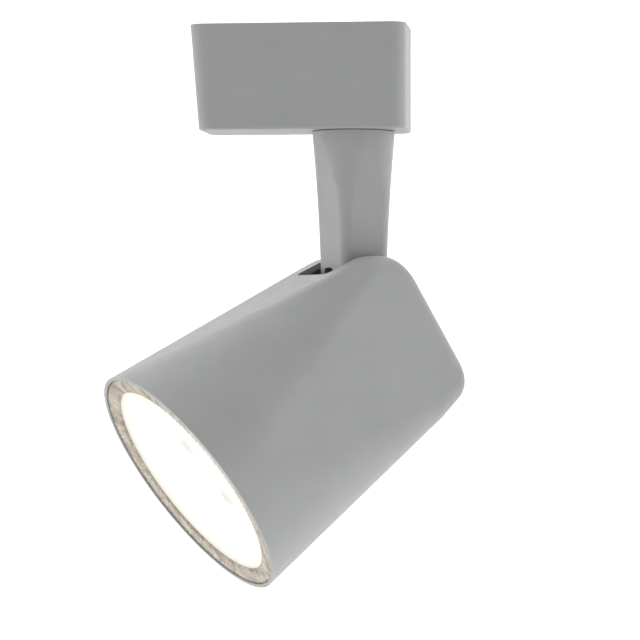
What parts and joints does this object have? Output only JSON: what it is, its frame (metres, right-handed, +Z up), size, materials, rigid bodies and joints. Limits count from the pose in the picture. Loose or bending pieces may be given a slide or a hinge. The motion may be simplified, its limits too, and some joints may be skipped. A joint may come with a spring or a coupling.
{
  "type": "track spotlight",
  "caption": "Grey track spotlight: box adapter, hollow swivel arm and a tapering tilting head with a lit round lens.",
  "frame": {"origin": "on the pan axis, in the plane of the adapter's top face, which sits against the track", "axes": "+Z up, out of the adapter's top face along the pan axis; +X along the track, away from the adapter's slanted end; +Y across the track"},
  "size_m": [0.142, 0.1243, 0.2239],
  "materials": {
    "grey_plastic": "fine matt texture, light grey, moulded",
    "grey_cast": "die-cast, with a fine matt light-grey powder coat",
    "dark_cover": "fine matt texture, black, moulded",
    "steel": "zinc-plated steel",
    "spring_steel": "bright spring steel",
    "nylon": "natural nylon, smooth",
    "black_rubber": "smooth black rubber",
    "seal_rubber": "translucent silicone",
    "thermal_rubber": "soft grey-blue silicone sheet",
    "cable_sheath": "white silicone sheath",
    "lead_sheath": "smooth sheath",
    "cast_aluminium": "plain cast aluminium",
    "white_board": "white solder mask on aluminium",
    "green_board": "green solder mask",
    "led_phosphor": "yellow phosphor under a clear dome; emissive warm white in use",
    "white_plastic": "bright white, smooth",
    "clear_optic": "clear acrylic with fine prisms; lit warm white in use",
    "prismatic_trim": "translucent, with fine radial prisms",
    "magnet_nickel": "nickel plate",
    "contact_brass": "gold-plated brass",
    "ferrite": "dark sintered ferrite with varnished winding",
    "capacitor_can": "plain can in a dark sleeve",
    "black_resin": "moulded resin",
    "terminal_green": "smooth",
    "splice_nylon": "smooth nylon sleeve"
  },
  "bodies": {
    "adapter": {"adapter_housing": "grey_plastic", "adapter_cover": "dark_cover", "cover_screws": "steel", "adapter_magnets": "magnet_nickel", "contact_carrier": "dark_cover", "contact_terminals": "contact_brass", "contact_spring_plus": "spring_steel", "contact_spring_minus": "spring_steel", "driver_board": "green_board", "board_screws": "steel", "driver_inductor": "ferrite", "driver_capacitors": "capacitor_can", "driver_chips": "black_resin", "output_terminal": "terminal_green", "input_leads": "lead_sheath", "output_leads": "lead_sheath", "cable_splice": "splice_nylon", "swivel_bush": "nylon", "pan_stop_pin": "steel"},
    "plus_plunger": {"contact_pin_plus": "contact_brass"},
    "minus_plunger": {"contact_pin_minus": "contact_brass"},
    "arm": {"swivel_spindle": "steel", "thrust_washer": "nylon", "stop_washer": "steel", "swivel_spring_washer": "spring_steel", "swivel_nut": "steel", "spindle_grommet": "black_rubber", "swivel_arm": "grey_cast", "arm_rear_cover": "grey_plastic", "arm_cable": "cable_sheath", "tilt_bushes": "nylon"},
    "head": {"pivot_tube": "steel", "tilt_screw": "steel", "tilt_spring_washer": "spring_steel", "tilt_nut": "steel", "tilt_bracket": "steel", "bracket_screws": "steel", "head_shell": "grey_cast", "heat_sink": "cast_aluminium", "heat_sink_screws": "steel", "heat_sink_grommet": "black_rubber", "thermal_pad": "thermal_rubber", "led_board": "white_board", "led_board_screws": "steel", "led_chips": "led_phosphor", "lens_holder": "white_plastic", "lens_array": "clear_optic", "lens_gasket": "seal_rubber", "bezel_ring": "prismatic_trim", "head_cable": "cable_sheath"}
  },
  "joints": [
    {"name": "pan", "type": "hinge", "parent": "adapter", "child": "arm", "pos_m": [0, 0, -0.042], "axis": [0, 0, 1], "range_deg": [-201, 139]},
    {"name": "tilt", "type": "hinge", "parent": "arm", "child": "head", "pos_m": [0, 0, -0.1093], "axis": [0.515, -0.8572, 0], "range_deg": [-33, 55]},
    {"name": "plus_contact", "type": "slide", "parent": "adapter", "child": "plus_plunger", "axis": [0, 0, 1], "range_m": [-0.0012, 0], "stiffness_N_per_m": 300, "springref_m": 0.0016, "deforming": ["contact_spring_plus"]},
    {"name": "minus_contact", "type": "slide", "parent": "adapter", "child": "minus_plunger", "axis": [0, 0, 1], "range_m": [-0.0012, 0], "stiffness_N_per_m": 300, "springref_m": 0.0016, "deforming": ["contact_spring_minus"]}
  ]
}
